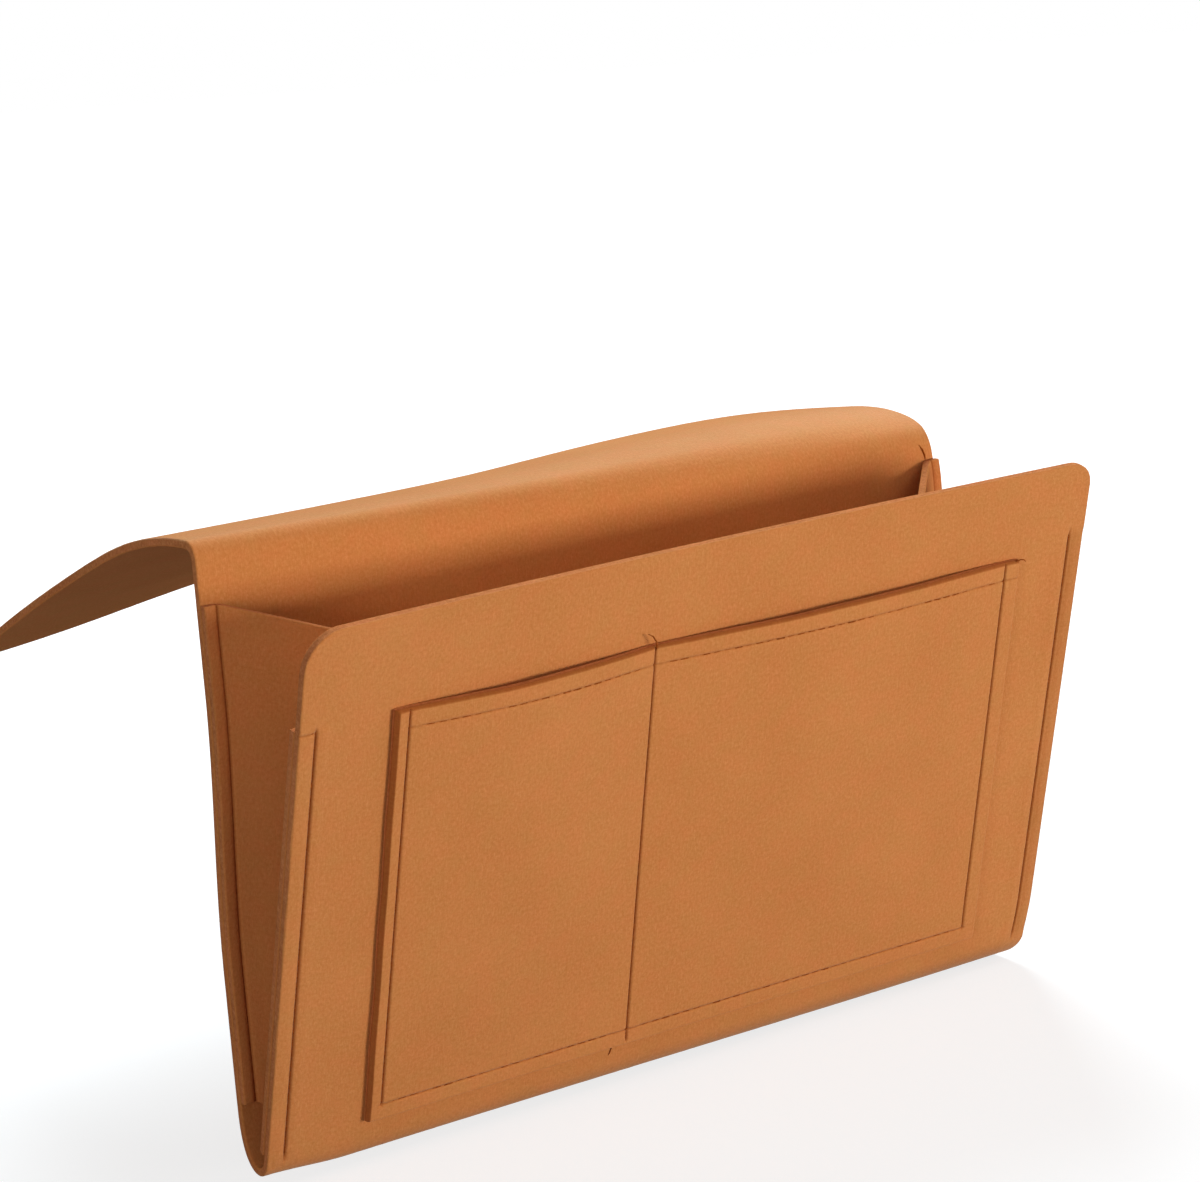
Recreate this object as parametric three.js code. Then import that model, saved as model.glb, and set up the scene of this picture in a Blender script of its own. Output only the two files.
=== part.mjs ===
// A bedside caddy sewn from thick felt.
//
// One long strip of felt is the flap that slides under a mattress, the back, the bottom fold and the
// front. A bellows gusset closes each side. The front carries a panel sewn on as two pockets, and the
// back carries a second panel inside the bag.
//
// Millimetres. +X runs across the caddy to the reader's right, +Z is up, and -Y points away from the
// bed. While it is built, z is 0 at the bottom fold and y is 0 on the back's front face. The finished
// group is moved so that the origin lies on the back's rear face, halfway up.

import * as THREE from "three";
import { mergeVertices } from "three/addons/utils/BufferGeometryUtils.js";

const { degToRad, lerp } = THREE.MathUtils;

// The felt strip
const caddyWidth = 330;
const feltThickness = 3;
const layerGap = 0.3;
const cornerRadius = 14;
const halfWidth = caddyWidth / 2;
const halfFelt = feltThickness / 2;

// The back
const backTop = 200;
const backBottom = 24;

// The front leans out from the fold, and stands open a little wider at its right end
const frontLength = 207.4;
const frontHingeLength = 6;
const frontHingeGap = 0.4;
const foldDepthLeft = 7;
const foldDepthRight = 35;
const frontLeanLeft = degToRad(17.5);
const frontLeanRight = degToRad(12);
const mouthDraw = 12;
const foldReach = 5.8;

// The flap bends over the top of the back and droops to the rear, more so at its left end
const flapLength = 232;
const flapBendLength = 24;
const flapSwell = 5;
const flapLeft = {
  straight: 9,
  bendRadius: 7,
  headingAfterBend: degToRad(0),
  headingAtRear: degToRad(-27),
  settleLength: 55,
};
const flapRight = {
  straight: 0,
  bendRadius: 10,
  headingAfterBend: degToRad(24),
  headingAtRear: degToRad(-12),
  settleLength: 25,
};

// The side gussets
const gussetTop = 197.7;
const gussetBottom = 25.4;
const gussetFrontTop = 172.5;
const gussetFrontBottom = 7.2;
const gussetHemWidth = 7;
const gussetLeafTopWidth = 47;
const gussetLeafBottomWidthLeft = 5;
const gussetLeafBottomWidthRight = 24;
const creaseGapTop = 3;
const creaseGapBottom = 5;

// The panel sewn on the front, a narrow pocket on the left and a wide one on the right
const frontPocketWidth = 268;
const frontPocketShift = 3;
const frontPocketTop = 173;
const frontPocketBottom = 14;
const frontPocketMargin = 6.3;
const frontPocketDivider = -24;
const narrowPocketRoom = 6.5;
const widePocketRoom = 7;
const pocketHemDepth = 7;

// The panel sewn on the back, inside the bag
const innerPocketWidth = 216;
const innerPocketTop = 150;
const innerPocketBottom = 48;
const innerPocketMargin = 6.3;
const innerPocketDivider = 10;
const innerPocketRoom = 7.5;

// Thread
const threadWidth = 0.9;
const threadThickness = 0.5;
const seamInset = 6.3;
const seamTail = 4;

// How finely each sheet is divided
const widthSteps = 16;
const heightSteps = 6;
const bendSteps = 12;
const cornerSteps = 4;
const pocketSteps = 6;
const flapSteps = 10;
const integrationSteps = 240;

const feltMaterial = (color) => new THREE.MeshStandardMaterial({ color, roughness: 0.95, metalness: 0 });
const bodyFelt = 0xc57d48;
const gussetFelt = 0xb06e3e;
const pocketFelt = 0xca844f;
const threadColor = 0x5a3216;

const caddy = new THREE.Group();

// Values from first to last in equal steps, both ends included.
function steps(first, last, count) {
  const values = [];
  for (let i = 0; i <= count; i += 1) {
    values.push(lerp(first, last, i / count));
  }
  return values;
}

// Six times the volume that a closed mesh holds, negative when its faces point inwards.
function signedVolume(geometry) {
  const position = geometry.getAttribute("position");
  const index = geometry.getIndex();
  const corners = [new THREE.Vector3(), new THREE.Vector3(), new THREE.Vector3()];
  let volume = 0;
  for (let i = 0; i < index.count; i += corners.length) {
    corners.forEach((corner, j) => corner.fromBufferAttribute(position, index.getX(i + j)));
    volume += corners[0].dot(corners[1].clone().cross(corners[2]));
  }
  return volume;
}

// Turns every face of a mesh over.
function turnFacesOver(geometry) {
  const index = geometry.getIndex();
  for (let i = 0; i < index.count; i += 3) {
    const first = index.getX(i);
    index.setX(i, index.getX(i + 1));
    index.setX(i + 1, first);
  }
}

// A sheet of felt or a line of thread: a box of one layer of cells, each corner moved to where
// place(across, along, side) says. side is 0 on the lower face and 1 on the upper one.
function addSheet(name, across, along, place, color) {
  const box = new THREE.BoxGeometry(1, 1, 1, across.length - 1, along.length - 1, 1);
  box.deleteAttribute("normal");
  box.deleteAttribute("uv");
  const geometry = mergeVertices(box);
  geometry.translate(0.5, 0.5, 0.5);
  const position = geometry.getAttribute("position");
  for (let i = 0; i < position.count; i += 1) {
    const column = Math.round(position.getX(i) * (across.length - 1));
    const row = Math.round(position.getY(i) * (along.length - 1));
    const side = Math.round(position.getZ(i));
    const point = place(across[column], along[row], side);
    position.setXYZ(i, point.x, point.y, point.z);
  }
  if (signedVolume(geometry) < 0) {
    turnFacesOver(geometry);
  }
  geometry.computeVertexNormals();
  const mesh = new THREE.Mesh(geometry, feltMaterial(color));
  mesh.name = name;
  caddy.add(mesh);
  return mesh;
}

// The strip's half width near a square end that is cut with round corners.
function roundedHalfWidth(distanceToEnd) {
  const inside = cornerRadius - distanceToEnd;
  if (inside <= 0) {
    return halfWidth;
  }
  const reach = Math.sqrt(Math.max(0, cornerRadius * cornerRadius - inside * inside));
  return halfWidth - cornerRadius + reach;
}

// Distances along the strip at which the round corners of an end are divided.
function cornerStations(end) {
  const stations = [];
  for (let i = 1; i <= cornerSteps; i += 1) {
    const turn = (i / cornerSteps) * (Math.PI / 2);
    stations.push(end - cornerRadius + cornerRadius * Math.sin(turn));
  }
  return stations;
}

// 0 at the left edge of the strip, 1 at its right edge.
const acrossShare = (x) => (x + halfWidth) / caddyWidth;

// A point of the front at x, a length t up from the fold line and n in front of its outer face.
function frontPoint(x, t, n) {
  const share = acrossShare(x);
  const lean = lerp(frontLeanLeft, frontLeanRight, share);
  const depth = lerp(foldDepthLeft, foldDepthRight, share);
  const edgeShare = x / halfWidth;
  const heightShare = (t - frontHingeLength) / (frontLength - frontHingeLength);
  const draw = mouthDraw * (1 - edgeShare * edgeShare) * Math.max(0, heightShare);
  const y = -depth - t * Math.sin(lean) - n * Math.cos(lean) + draw;
  const z = t * Math.cos(lean) - n * Math.sin(lean);
  return new THREE.Vector3(x, y, z);
}

// A point of the back at x and height z, n in front of its front face.
const backPoint = (x, z, n) => new THREE.Vector3(x, -n, z);

// The path of the flap's middle layer at one end of its width: its y, z and heading at a length s
// from the top of the back.
function flapPath(shape, s) {
  const bendEnd = shape.straight + shape.bendRadius * (Math.PI / 2 - shape.headingAfterBend);
  const heading = (length) => {
    if (length < shape.straight) {
      return Math.PI / 2;
    }
    if (length < bendEnd) {
      return Math.PI / 2 - (length - shape.straight) / shape.bendRadius;
    }
    const settled = Math.exp((bendEnd - length) / shape.settleLength);
    return lerp(shape.headingAtRear, shape.headingAfterBend, settled);
  };
  let y = halfFelt;
  let z = backTop;
  const step = s / integrationSteps;
  for (let i = 0; i < integrationSteps; i += 1) {
    const turned = heading((i + 0.5) * step);
    y += Math.cos(turned) * step;
    z += Math.sin(turned) * step;
  }
  return { y, z, heading: heading(s) };
}

// A point of the flap at x and a length s from the top of the back, n above its middle layer.
function flapPoint(x, s, n) {
  const share = acrossShare(x);
  const left = flapPath(flapLeft, s);
  const right = flapPath(flapRight, s);
  const heading = lerp(left.heading, right.heading, share);
  const grown = 1 - Math.exp(-s / flapBendLength);
  const swell = flapSwell * Math.sin(Math.PI * share * share) * grown * grown;
  const y = lerp(left.y, right.y, share) - n * Math.sin(heading);
  const z = lerp(left.z, right.z, share) + n * Math.cos(heading) + swell;
  return new THREE.Vector3(x, y, z);
}

// The strip itself: flap, flap bend, back, bottom fold and front
const fullWidth = steps(-1, 1, widthSteps);

const backStations = [backBottom, backTop];
addSheet("back_panel", [-halfWidth, halfWidth], backStations, (x, z, side) => (
  new THREE.Vector3(x, side * feltThickness, z)
), bodyFelt);

addSheet("flap_bend", fullWidth, steps(layerGap, flapBendLength, bendSteps), (share, s, side) => (
  flapPoint(share * halfWidth, s, (side - 0.5) * feltThickness)
), bodyFelt);

const flapStart = flapBendLength + layerGap;
const flapStations = [
  ...steps(flapStart, flapLength - cornerRadius, flapSteps),
  ...cornerStations(flapLength),
];
addSheet("flap", fullWidth, flapStations, (share, s, side) => (
  flapPoint(share * roundedHalfWidth(flapLength - s), s, (side - 0.5) * feltThickness)
), bodyFelt);

// The fold's middle layer follows a cubic curve from the back's lower edge to the front's.
function foldPoint(x, share, n) {
  const foldEnd = frontHingeLength - frontHingeGap;
  const end = frontPoint(x, foldEnd, -halfFelt);
  const above = frontPoint(x, frontHingeLength, -halfFelt);
  const down = end.clone().sub(above).normalize();
  const start = new THREE.Vector3(x, halfFelt, backBottom - layerGap);
  const startHandle = new THREE.Vector3(x, halfFelt, -foldReach);
  const handleLength = (end.z + foldReach) / -down.z;
  const endHandle = end.clone().addScaledVector(down, handleLength);
  const curve = new THREE.CubicBezierCurve3(start, startHandle, endHandle, end);
  const along = curve.getTangent(share);
  const outwards = new THREE.Vector3(0, -along.z, along.y).normalize();
  return curve.getPoint(share).addScaledVector(outwards, n);
}
addSheet("bottom_fold", fullWidth, steps(0, 1, bendSteps), (share, along, side) => (
  foldPoint(share * halfWidth, along, (side - 0.5) * feltThickness)
), bodyFelt);

const frontStations = [
  ...steps(frontHingeLength, frontLength - cornerRadius, heightSteps),
  ...cornerStations(frontLength),
];
addSheet("front_panel", fullWidth, frontStations, (share, t, side) => (
  frontPoint(share * roundedHalfWidth(frontLength - t), t, (side - 1) * feltThickness)
), bodyFelt);

// A bellows gusset. Its rear hem is sewn on the back and its front hem behind the front. Two leaves
// fold inwards between them and stop just short of each other at the crease. hand is -1 on the left
// and 1 on the right.
function addGusset(side, hand, leafBottomWidth) {
  const hemEdges = [hand * halfWidth, hand * (halfWidth - gussetHemWidth)];
  const rootX = hand * (halfWidth - gussetHemWidth - layerGap - halfFelt);
  const frontLayer = -(feltThickness + layerGap);
  addSheet(`${side}_gusset_back_hem`, hemEdges, [gussetBottom, gussetTop], (x, z, face) => (
    backPoint(x, z, layerGap + face * feltThickness)
  ), gussetFelt);
  const frontHeights = steps(gussetFrontBottom, gussetFrontTop, heightSteps);
  addSheet(`${side}_gusset_front_hem`, hemEdges, frontHeights, (x, t, face) => (
    frontPoint(x, t, frontLayer - face * feltThickness)
  ), gussetFelt);

  const rearRoot = (share) => backPoint(rootX, lerp(gussetBottom, gussetTop, share), layerGap + halfFelt);
  const frontRoot = (share) => (
    frontPoint(rootX, lerp(gussetFrontBottom, gussetFrontTop, share), frontLayer - halfFelt)
  );
  // The two ends of the crease, one for each leaf, at the bottom or the top of the gusset.
  const creaseEnds = (share, leafWidth, gap) => {
    const rear = rearRoot(share);
    const front = frontRoot(share);
    const forwards = front.clone().sub(rear);
    const reach = forwards.length() / 2 - gap;
    const depth = Math.sqrt(Math.max(0, leafWidth * leafWidth - reach * reach));
    forwards.normalize();
    const middle = rear.clone().lerp(front, 0.5);
    middle.x -= hand * depth;
    return [
      middle.clone().addScaledVector(forwards, -gap),
      middle.clone().addScaledVector(forwards, gap),
    ];
  };
  const bottomEnds = creaseEnds(0, leafBottomWidth, creaseGapBottom);
  const topEnds = creaseEnds(1, gussetLeafTopWidth, creaseGapTop);
  const addLeaf = (name, root, which) => {
    const seamLine = root(1).sub(root(0)).normalize();
    addSheet(name, [0, 1], steps(0, 1, heightSteps), (across, along, face) => {
      const seam = root(along);
      const crease = bottomEnds[which].clone().lerp(topEnds[which], along);
      const leaf = crease.clone().sub(seam);
      const outwards = leaf.clone().cross(seamLine).normalize();
      return seam.addScaledVector(leaf, across).addScaledVector(outwards, (face - 0.5) * feltThickness);
    }, gussetFelt);
  };
  addLeaf(`${side}_gusset_back_leaf`, rearRoot, 0);
  addLeaf(`${side}_gusset_front_leaf`, frontRoot, 1);
}
addGusset("left", -1, gussetLeafBottomWidthLeft);
addGusset("right", 1, gussetLeafBottomWidthRight);

// How far a sewn-on panel stands off at x, at a share of its height from its bottom seam to its
// mouth: nothing at the seams, most in the middle of each pocket's mouth.
function pocketRoom(x, heightShare, seams, rooms) {
  for (let i = 0; i < rooms.length; i += 1) {
    const share = (x - seams[i]) / (seams[i + 1] - seams[i]);
    if (share > 0 && share < 1) {
      const rise = Math.sin(THREE.MathUtils.clamp(heightShare, 0, 1) * (Math.PI / 2));
      return rooms[i] * Math.sin(Math.PI * share) * rise;
    }
  }
  return 0;
}

// The columns of a sewn-on panel: its raw edges, its seams, and even steps between the seams.
function pocketColumns(left, right, seams) {
  const columns = [left];
  for (let i = 0; i + 1 < seams.length; i += 1) {
    columns.push(...steps(seams[i], seams[i + 1], pocketSteps).slice(0, -1));
  }
  columns.push(seams[seams.length - 1], right);
  return columns;
}

// A panel sewn on a wall as two pockets, with its seams. wall is the place function of the wall.
function addPocketPanel(panel) {
  const { name, wall, left, right, bottom, top, margin, divider, rooms } = panel;
  const bottomSeam = bottom + margin;
  const seams = [left + margin, divider, right - margin];
  const lift = (x, height) => (
    layerGap + pocketRoom(x, (height - bottomSeam) / (top - bottomSeam), seams, rooms)
  );
  const heights = [bottom, ...steps(bottomSeam, top, heightSteps)];
  addSheet(name, pocketColumns(left, right, seams), heights, (x, height, side) => (
    wall(x, height, lift(x, height) + side * feltThickness)
  ), pocketFelt);

  const thread = (x, height, side) => (
    wall(x, height, lift(x, height) + feltThickness + layerGap + side * threadThickness)
  );
  const halfThread = threadWidth / 2;
  const addUpright = (seamName, x, low, high) => {
    const edges = [x - halfThread, x + halfThread];
    addSheet(seamName, edges, steps(low, high, heightSteps), (across, height, side) => {
      const middle = wall(x, height, layerGap + feltThickness + layerGap + side * threadThickness);
      middle.x = across;
      return middle;
    }, threadColor);
  };
  const hemLine = top - pocketHemDepth;
  const clear = threadWidth + layerGap;
  addUpright(`${name}_left_seam`, seams[0], bottomSeam, top);
  addUpright(`${name}_divider_seam`, seams[1], bottomSeam + clear, top);
  addUpright(`${name}_right_seam`, seams[2], bottomSeam, top);
  const addLevel = (seamName, from, to, height) => {
    const edges = [height - halfThread, height + halfThread];
    addSheet(seamName, edges, steps(from, to, pocketSteps), (across, x, side) => (
      thread(x, across, side)
    ), threadColor);
  };
  addLevel(`${name}_bottom_seam`, seams[0] + clear, seams[2] - clear, bottomSeam);
  addLevel(`${name}_left_hem_seam`, seams[0] + clear, seams[1] - clear, hemLine);
  addLevel(`${name}_right_hem_seam`, seams[1] + clear, seams[2] - clear, hemLine);
}

addPocketPanel({
  name: "front_pocket",
  wall: frontPoint,
  left: frontPocketShift - frontPocketWidth / 2,
  right: frontPocketShift + frontPocketWidth / 2,
  bottom: frontPocketBottom,
  top: frontPocketTop,
  margin: frontPocketMargin,
  divider: frontPocketDivider,
  rooms: [narrowPocketRoom, widePocketRoom],
});

addPocketPanel({
  name: "inner_pocket",
  wall: backPoint,
  left: -innerPocketWidth / 2,
  right: innerPocketWidth / 2,
  bottom: innerPocketBottom,
  top: innerPocketTop,
  margin: innerPocketMargin,
  divider: innerPocketDivider,
  rooms: [innerPocketRoom, innerPocketRoom],
});

// The seams that hold the gussets: on the hem inside the bag, and on the front's outer face.
function addGussetSeams(side, hand) {
  const middle = hand * (halfWidth - seamInset);
  const edges = [middle - threadWidth / 2, middle + threadWidth / 2];
  const rearLayer = layerGap + feltThickness + layerGap;
  addSheet(`${side}_gusset_back_seam`, edges, [gussetBottom, gussetTop], (x, z, face) => (
    backPoint(x, z, rearLayer + face * threadThickness)
  ), threadColor);
  const heights = steps(gussetFrontBottom, gussetFrontTop + seamTail, heightSteps);
  addSheet(`${side}_gusset_front_seam`, edges, heights, (x, t, face) => (
    frontPoint(x, t, layerGap + face * threadThickness)
  ), threadColor);
}
addGussetSeams("left", -1);
addGussetSeams("right", 1);

// The origin goes to the middle of the back's rear face.
caddy.position.set(0, -feltThickness, -(backBottom + backTop) / 2);

export default caddy;
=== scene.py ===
# %% [markdown]
# # A felt bedside caddy
#
# The real object is sewn from thick craft felt. One long strip makes the flap, the back, the bottom
# fold and the front, a bellows gusset closes each side, and two panels are sewn on as pockets. The
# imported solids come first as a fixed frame, and every piece made here takes the place of one or more
# of them.

# %% Load the frame
import math
import bpy
import numpy as np
from mathutils import Matrix, Vector


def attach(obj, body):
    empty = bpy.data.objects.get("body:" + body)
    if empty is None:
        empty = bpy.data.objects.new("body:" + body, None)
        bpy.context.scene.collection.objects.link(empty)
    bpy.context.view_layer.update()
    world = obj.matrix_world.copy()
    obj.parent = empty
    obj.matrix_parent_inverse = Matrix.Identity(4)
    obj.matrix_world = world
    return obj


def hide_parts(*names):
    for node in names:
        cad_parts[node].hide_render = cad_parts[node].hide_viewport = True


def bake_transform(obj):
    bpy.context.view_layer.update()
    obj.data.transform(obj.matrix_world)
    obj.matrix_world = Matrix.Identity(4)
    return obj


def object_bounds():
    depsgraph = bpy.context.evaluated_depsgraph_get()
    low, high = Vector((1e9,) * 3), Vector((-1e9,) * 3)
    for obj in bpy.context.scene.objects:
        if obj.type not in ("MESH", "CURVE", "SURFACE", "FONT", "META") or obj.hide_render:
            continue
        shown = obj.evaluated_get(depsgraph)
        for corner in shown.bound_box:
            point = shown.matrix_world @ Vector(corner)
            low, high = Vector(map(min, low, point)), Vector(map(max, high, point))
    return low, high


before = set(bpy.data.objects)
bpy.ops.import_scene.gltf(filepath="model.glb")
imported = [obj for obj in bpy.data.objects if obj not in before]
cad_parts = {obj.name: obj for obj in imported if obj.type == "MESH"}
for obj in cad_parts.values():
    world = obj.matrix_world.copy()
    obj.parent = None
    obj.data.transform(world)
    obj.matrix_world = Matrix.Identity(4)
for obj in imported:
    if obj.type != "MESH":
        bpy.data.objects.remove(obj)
solid_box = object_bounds()
print("solids:", len(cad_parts), "box:", [[round(v, 4) for v in corner] for corner in solid_box])

# %% [markdown]
# ## The camera
#
# The view was found by matching the corners, edges and seams of the solids with the picture. The
# camera stands to the front left and a little above, tilted slightly, with a long lens. It could be
# aimed by a constraint at a target, but that leaves out the tilt. A camera in Blender looks along its
# own -Z, so its axes are written here as the columns of a matrix.

# %% Place the camera
mm = 0.001
camera_place = Vector((-0.518324, -0.719071, 0.254285))
camera_turn = 0.621204272
camera_dip = 0.215268818
camera_tilt = -0.0651652216
picture_width = 1200
focal_pixels = 2491.925
sensor_width = 36.0

ahead = Vector((math.sin(camera_turn) * math.cos(camera_dip),
                math.cos(camera_turn) * math.cos(camera_dip), -math.sin(camera_dip)))
level_right = Vector((math.cos(camera_turn), -math.sin(camera_turn), 0))
level_up = level_right.cross(ahead)
right = math.cos(camera_tilt) * level_right + math.sin(camera_tilt) * level_up
up = math.cos(camera_tilt) * level_up - math.sin(camera_tilt) * level_right
bpy.ops.object.select_all(action="DESELECT")
bpy.ops.object.camera_add()
camera = bpy.context.object
camera.name = "camera"
camera_axes = Matrix((right, up, -ahead)).transposed().to_4x4()
camera.matrix_world = Matrix.Translation(camera_place) @ camera_axes
camera.data.sensor_width = sensor_width
camera.data.lens = focal_pixels * sensor_width / picture_width
bpy.context.scene.camera = camera
print("lens in mm:", round(camera.data.lens, 2))

# %% [markdown]
# ## Floor and light
#
# The picture has a plain white ground and a soft light: brighter from above and behind to the right,
# with a wide fill from the front, less from the left, and a little from above into the bag's mouth. A
# sheet of floor reaches past the horizon. To the camera alone it and the world look white, and it
# still takes the object's shadow. The light could come from a picture of a studio, but lamps can be
# moved and dimmed one by one. They are large, so that the felt's shadows stay soft.

# %% Small helpers for materials


def set_values(node, **values):
    """Sets sockets of a node to plain values. An underscore in a name stands for a space."""
    for name, value in values.items():
        node.inputs[name.replace("_", " ")].default_value = value


def add_node(tree, kind, settings=None, **values):
    """A node in a tree, with its own settings and with values for its sockets."""
    node = tree.nodes.new(kind)
    for name, value in (settings or {}).items():
        setattr(node, name, value)
    set_values(node, **values)
    return node


def feed(tree, value, socket):
    """Links a socket to another one, or sets it to a plain value."""
    if isinstance(value, bpy.types.NodeSocket):
        tree.links.new(value, socket)
    elif value is not None:
        socket.default_value = value


def do_math(tree, operation, first, second=None):
    """One step of arithmetic between sockets or plain numbers."""
    node = add_node(tree, "ShaderNodeMath", {"operation": operation})
    feed(tree, first, node.inputs[0])
    feed(tree, second, node.inputs[1])
    return node.outputs[0]


def map_range(tree, value, low, high, to_low=0.0, to_high=1.0):
    """Stretches a value between two limits."""
    node = add_node(tree, "ShaderNodeMapRange", From_Min=low, From_Max=high, To_Min=to_low,
                    To_Max=to_high)
    tree.links.new(value, node.inputs["Value"])
    return node.outputs["Result"]


def seen_directly(tree):
    """1 where the camera or a gloss sees a surface, and 0 where it only throws light on others."""
    path = tree.nodes.new("ShaderNodeLightPath")
    return do_math(tree, "MAXIMUM", path.outputs["Is Camera Ray"], path.outputs["Is Glossy Ray"])


def new_finish(name):
    """A new material, with its node tree and its shader."""
    finish = bpy.data.materials.new(name)
    finish.use_nodes = True
    return finish, finish.node_tree, finish.node_tree.nodes["Principled BSDF"]


# %% Lay the floor
floor_level = solid_box[0][2] - 4 * mm
floor_reach = 60.0
glow_near, glow_far = 0.76, 1.0
bpy.ops.object.select_all(action="DESELECT")
bpy.ops.mesh.primitive_grid_add(x_subdivisions=8, y_subdivisions=8, size=floor_reach,
                                location=(0, 0, floor_level))
floor = bpy.context.object
floor.name = "floor"
floor_paint, tree, shader = new_finish("floor paint")
set_values(shader, Base_Color=(0.3, 0.3, 0.3, 1), Roughness=0.9, Specular_IOR_Level=0.0,
           Emission_Color=(1, 1, 1, 1))
coordinates = tree.nodes.new("ShaderNodeTexCoord")
far = add_node(tree, "ShaderNodeVectorMath", {"operation": "LENGTH"})
tree.links.new(coordinates.outputs["Object"], far.inputs[0])
glow = map_range(tree, far.outputs["Value"], 0.2, 1.6, glow_near, glow_far)
tree.links.new(do_math(tree, "MULTIPLY", glow, seen_directly(tree)), shader.inputs["Emission Strength"])
floor.data.materials.append(floor_paint)
print("floor at:", round(floor_level, 4))

# %% Set the world and the lamps
ambient = 0.22
world = bpy.data.worlds.new("studio")
bpy.context.scene.world = world
world.use_nodes = True
tree = world.node_tree
sky = tree.nodes["Background"]
set_values(sky, Color=(1, 1, 1, 1))
tree.links.new(map_range(tree, seen_directly(tree), 0.0, 1.0, ambient, 1.0), sky.inputs["Strength"])


def hang_lamp(name, place, target, face, watts, color=(1, 1, 1)):
    """A soft lamp with an oblong face at a place, turned to a target."""
    bpy.ops.object.select_all(action="DESELECT")
    bpy.ops.object.light_add(type="AREA", location=place)
    lamp = bpy.context.object
    lamp.name = name
    lamp.data.shape = "RECTANGLE"
    lamp.data.size, lamp.data.size_y = face
    lamp.data.energy = watts
    lamp.data.color = color
    lamp.rotation_euler = (Vector(target) - Vector(place)).to_track_quat("-Z", "Y").to_euler()


hang_lamp("top lamp", (0.55, 0.95, 1.35), (0, 0.05, 0), (0.9, 0.9), 38, (0.87, 1.02, 1.09))
hang_lamp("left lamp", (-1.7, -0.9, 0.12), (-0.1, 0, 0), (0.6, 0.6), 8)
hang_lamp("front lamp", (0.7, -1.9, 0.12), (0, 0, 0.02), (0.8, 0.4), 27)
hang_lamp("mouth lamp", (0.8, -0.9, 1.4), (0, -0.04, 0.05), (0.9, 0.9), 5)
bpy.context.scene.view_settings.view_transform = "Standard"

# %% [markdown]
# ## The felt
#
# Pressed felt has no weave: it is a mat of fine fibres with small clouds of tone, a dry surface and a
# faint fuzz that catches light at the rim. One shader node group makes the pattern from three layers:
# wide clouds, a mottle of a few millimetres, and thin fibres lying in three directions. It puts out a
# colour, a height and a roughness, and each felt finish places it with its own values. A pattern made
# by nodes has no joins and keeps its scale on pieces of any size. The faces read the sheet's own flat
# UV map, in metres, so the pattern follows the felt when it bends. The cut edges read Object
# coordinates, because a cut shows fibres across the thickness.

# %% Make the fibre pattern group
blush_tint = (1.04, 0.95, 0.99, 1)
pressed_shade_tint = (0.46, 0.30, 0.15, 1)
strand_turns = (0.35, 1.45, 2.5)
fibres = bpy.data.node_groups.new("felt fibres", "ShaderNodeTree")
for label, kind, way in (("Vector", "Vector", "INPUT"), ("Base", "Color", "INPUT"),
                         ("Deep", "Color", "INPUT"), ("Pale", "Color", "INPUT"),
                         ("Pressed_Shade", "Float", "INPUT"), ("Color", "Color", "OUTPUT"),
                         ("Height", "Float", "OUTPUT"), ("Roughness", "Float", "OUTPUT")):
    fibres.interface.new_socket(label, in_out=way, socket_type=f"NodeSocket{kind}")
group_in = fibres.nodes.new("NodeGroupInput")
group_out = fibres.nodes.new("NodeGroupOutput")


def mix_colors(tree, share, first, second, blend="MIX"):
    """Mixes two colours. Each of the three is a socket or a plain value."""
    node = add_node(tree, "ShaderNodeMix", {"data_type": "RGBA", "blend_type": blend})
    for number, value in ((0, share), (6, first), (7, second)):
        feed(tree, value, node.inputs[number])
    return node.outputs[2]


vector = group_in.outputs["Vector"]
clouds = add_node(fibres, "ShaderNodeTexNoise", Scale=24.0, Detail=3.0, Roughness=0.55)
mottle = add_node(fibres, "ShaderNodeTexNoise", Scale=820.0, Detail=5.0, Roughness=0.68)
blush = add_node(fibres, "ShaderNodeTexNoise", Scale=95.0, Detail=3.0, Roughness=0.6)
for node in (clouds, mottle, blush):
    fibres.links.new(vector, node.inputs["Vector"])
strands = None
for turn in strand_turns:
    turned = add_node(fibres, "ShaderNodeMapping", Rotation=(0, 0, turn), Scale=(2600.0, 330.0, 700.0))
    fibres.links.new(vector, turned.inputs["Vector"])
    strand = add_node(fibres, "ShaderNodeTexNoise", Scale=1.0, Detail=2.0, Roughness=0.5,
                      Distortion=0.6)
    fibres.links.new(turned.outputs["Vector"], strand.inputs["Vector"])
    ridge = map_range(fibres, strand.outputs["Fac"], 0.5, 0.72)
    strands = ridge if strands is None else do_math(fibres, "MAXIMUM", strands, ridge)

# %% Put the pattern's colour and height together
cloud_share = map_range(fibres, clouds.outputs["Fac"], 0.3, 0.7)
mottle_share = map_range(fibres, mottle.outputs["Fac"], 0.32, 0.68)
tone = do_math(fibres, "ADD", do_math(fibres, "MULTIPLY", cloud_share, 0.35),
               do_math(fibres, "MULTIPLY", mottle_share, 0.65))
fibre_color = mix_colors(fibres, tone, group_in.outputs["Deep"], group_in.outputs["Base"])
pale_share = do_math(fibres, "MULTIPLY", strands, do_math(fibres, "MULTIPLY", mottle_share, 0.4))
fibre_color = mix_colors(fibres, pale_share, fibre_color, group_in.outputs["Pale"])
blush_share = map_range(fibres, blush.outputs["Fac"], 0.35, 0.65)
redder = mix_colors(fibres, 1.0, fibre_color, blush_tint, "MULTIPLY")
fibre_color = mix_colors(fibres, blush_share, fibre_color, redder)
# The colour darkens where the felt is squashed under the seams, and with painted shade in the seams'
# grooves and along cut edges.
pressed_shade_color = mix_colors(fibres, 1.0, fibre_color, pressed_shade_tint, "MULTIPLY")
fibre_color = mix_colors(fibres, group_in.outputs["Pressed_Shade"], fibre_color, pressed_shade_color)
height = do_math(fibres, "ADD", do_math(fibres, "MULTIPLY", mottle_share, 0.6),
                 do_math(fibres, "MULTIPLY", strands, 0.4))
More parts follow.
